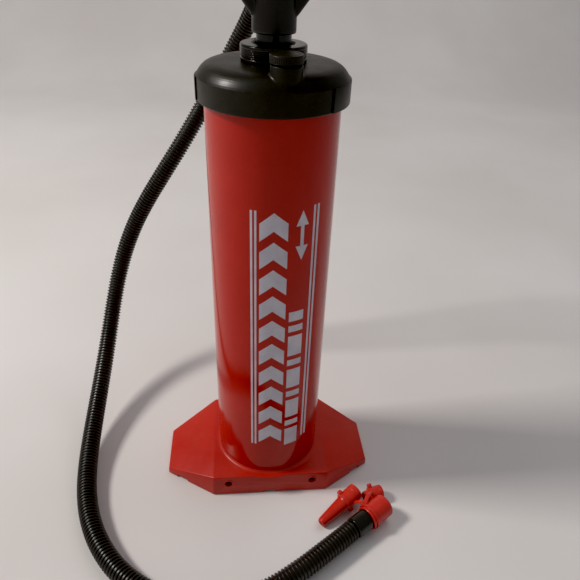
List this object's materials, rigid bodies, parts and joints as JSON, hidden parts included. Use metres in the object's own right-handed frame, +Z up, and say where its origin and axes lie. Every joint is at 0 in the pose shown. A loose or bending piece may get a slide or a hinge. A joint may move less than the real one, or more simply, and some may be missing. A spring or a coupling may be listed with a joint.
{
  "type": "double action hand pump",
  "caption": "Hand air pump: round barrel on a winged foot plate, screw-on cap, hollow rod with a Y-shaped handle, and a corrugated hose with push-on nozzles.",
  "frame": {"origin": "middle of the foot plate's underside, on the barrel's axis", "axes": "+Z up along the barrel and the rod; X along the foot plate's long side and the handle bar; -Y the front, +Y the side the hose leaves from"},
  "size_m": [0.3129, 0.3917, 0.489],
  "materials": {
    "red_gloss": "glossy red, hard plastic tube",
    "red_plastic": "glossy red moulded plastic",
    "red_nozzle": "satin red moulded plastic",
    "black_plastic": "black moulded plastic with a fine grain",
    "black_gloss": "smooth black plastic tube",
    "black_hose": "black corrugated hose",
    "rubber": "soft black rubber",
    "white_plastic": "natural low-friction plastic",
    "steel": "zinc plated steel"
  },
  "bodies": {
    "barrel": {"base_foot": "red_plastic", "barrel_tube": "red_gloss", "bottom_head": "black_plastic", "bottom_seal_ring": "rubber", "bottom_flap_rivet": "black_plastic", "base_screw_1": "steel", "base_screw_2": "steel", "base_screw_3": "steel", "base_screw_4": "steel", "top_cap": "black_plastic", "cap_gasket": "rubber", "gland_collar": "black_plastic", "rod_bush": "white_plastic", "rod_wiper": "rubber", "intake_cover": "black_plastic", "cap_flap_pin": "black_plastic", "hose": "black_hose", "hose_end_cuff": "black_plastic"},
    "plunger": {"pump_rod": "black_gloss", "piston_cup": "black_plastic", "piston_plate": "black_plastic", "piston_seal": "rubber", "rod_nut": "black_plastic", "piston_flap_rivet": "black_plastic", "piston_screw_1": "steel", "piston_screw_2": "steel", "piston_screw_3": "steel", "stop_bumper": "rubber", "handle_body": "black_plastic", "handle_screw": "steel", "handle_end_plug_left": "black_plastic", "handle_end_plug_right": "black_plastic", "hose_port_seal": "rubber", "hose_connector": "black_plastic"},
    "bottom_flap": {"bottom_intake_flap": "rubber"},
    "cap_flap": {"cap_intake_flap": "rubber"},
    "piston_upper_flap": {"piston_flap_upper": "rubber"},
    "piston_lower_flap": {"piston_flap_lower": "rubber"},
    "nozzle_set": {"nozzle_large": "red_nozzle", "nozzle_medium": "red_nozzle", "nozzle_small": "red_nozzle", "nozzle_tie": "red_nozzle"}
  },
  "joints": [
    {"name": "pump_slide", "type": "slide", "parent": "barrel", "child": "plunger", "axis": [0, 0, 1], "range_m": [-0.006, 0.32], "deforming": ["hose"]},
    {"name": "bottom_flap_lift", "type": "slide", "parent": "barrel", "child": "bottom_flap", "axis": [0, 0, 1], "range_m": [0, 0.002], "stiffness_N_per_m": 20},
    {"name": "cap_flap_drop", "type": "slide", "parent": "barrel", "child": "cap_flap", "axis": [0, 0, -1], "range_m": [0, 0.0018], "stiffness_N_per_m": 20, "springref_m": -0.002},
    {"name": "piston_upper_flap_drop", "type": "slide", "parent": "plunger", "child": "piston_upper_flap", "axis": [0, 0, -1], "range_m": [0, 0.0022], "stiffness_N_per_m": 30, "springref_m": -0.003},
    {"name": "piston_lower_flap_lift", "type": "slide", "parent": "plunger", "child": "piston_lower_flap", "axis": [0, 0, 1], "range_m": [0, 0.002], "stiffness_N_per_m": 20},
    {"name": "nozzle_pull", "type": "slide", "parent": "barrel", "child": "nozzle_set", "axis": [0.826, 0.5637, 0], "range_m": [0, 0.012]}
  ]
}
